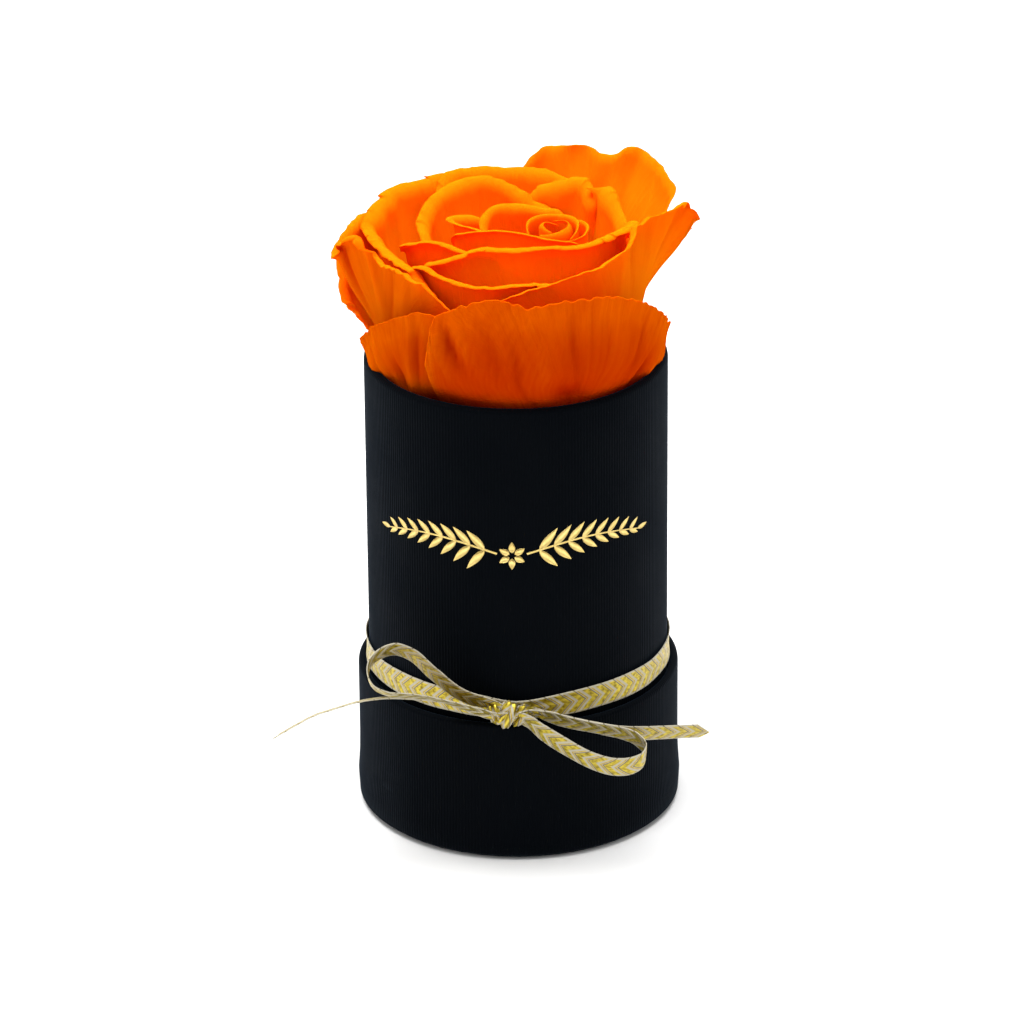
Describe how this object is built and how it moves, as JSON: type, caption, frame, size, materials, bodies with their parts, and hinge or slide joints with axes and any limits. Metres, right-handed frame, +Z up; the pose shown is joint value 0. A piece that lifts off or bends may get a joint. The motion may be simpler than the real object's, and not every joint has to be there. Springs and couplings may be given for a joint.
{
  "type": "flower box with a preserved rose",
  "caption": "Round paper-covered flower box standing in its upturned lid, filled with a large preserved rose and tied with a narrow ribbon bow.",
  "frame": {"origin": "centre of the underside that the box stands on", "axes": "+Z up through the rose, -Y towards the bow, which is the front"},
  "size_m": [0.0989, 0.0868, 0.1501],
  "materials": {
    "ribbed_paper": "matte",
    "greyboard": "matte",
    "foam": "matte",
    "stem_green": "matte",
    "rose_petal": "matte",
    "gold_ribbon": "satin"
  },
  "bodies": {
    "root": {"box_cover_paper": "ribbed_paper", "box_floor_board": "greyboard", "box_wall_board": "greyboard", "calyx": "stem_green", "foam_plug": "foam", "guard_petal_back_left": "rose_petal", "guard_petal_back_right": "rose_petal", "guard_petal_front": "rose_petal", "guard_petal_front_left": "rose_petal", "heart_bud": "rose_petal", "heart_petal_back": "rose_petal", "heart_petal_front": "rose_petal", "heart_petal_left": "rose_petal", "heart_petal_right": "rose_petal", "inner_petal_back_left": "rose_petal", "inner_petal_front": "rose_petal", "inner_petal_left": "rose_petal", "inner_petal_right": "rose_petal", "lid_cover_paper": "ribbed_paper", "lid_top_board": "greyboard", "lid_top_paper": "ribbed_paper", "lid_wall_board": "greyboard", "middle_petal_back": "rose_petal", "middle_petal_front": "rose_petal", "middle_petal_left": "rose_petal", "middle_petal_right": "rose_petal", "outer_petal_left": "rose_petal", "outer_petal_left_back": "rose_petal", "ribbon_band": "gold_ribbon", "ribbon_knot": "gold_ribbon", "ribbon_loop_left": "gold_ribbon", "ribbon_loop_right": "gold_ribbon", "ribbon_tail_left": "gold_ribbon", "ribbon_tail_right": "gold_ribbon", "ring_petal_back_left": "rose_petal", "ring_petal_front": "rose_petal", "ring_petal_front_left": "rose_petal", "ring_petal_right": "rose_petal", "sepal_1": "stem_green", "sepal_2": "stem_green", "sepal_3": "stem_green", "sepal_4": "stem_green", "sepal_5": "stem_green", "stem": "stem_green", "tall_petal_back_right": "rose_petal", "upper_petal_back": "rose_petal", "upper_petal_front": "rose_petal", "upper_petal_left": "rose_petal", "upper_petal_right": "rose_petal"}
  },
  "joints": []
}
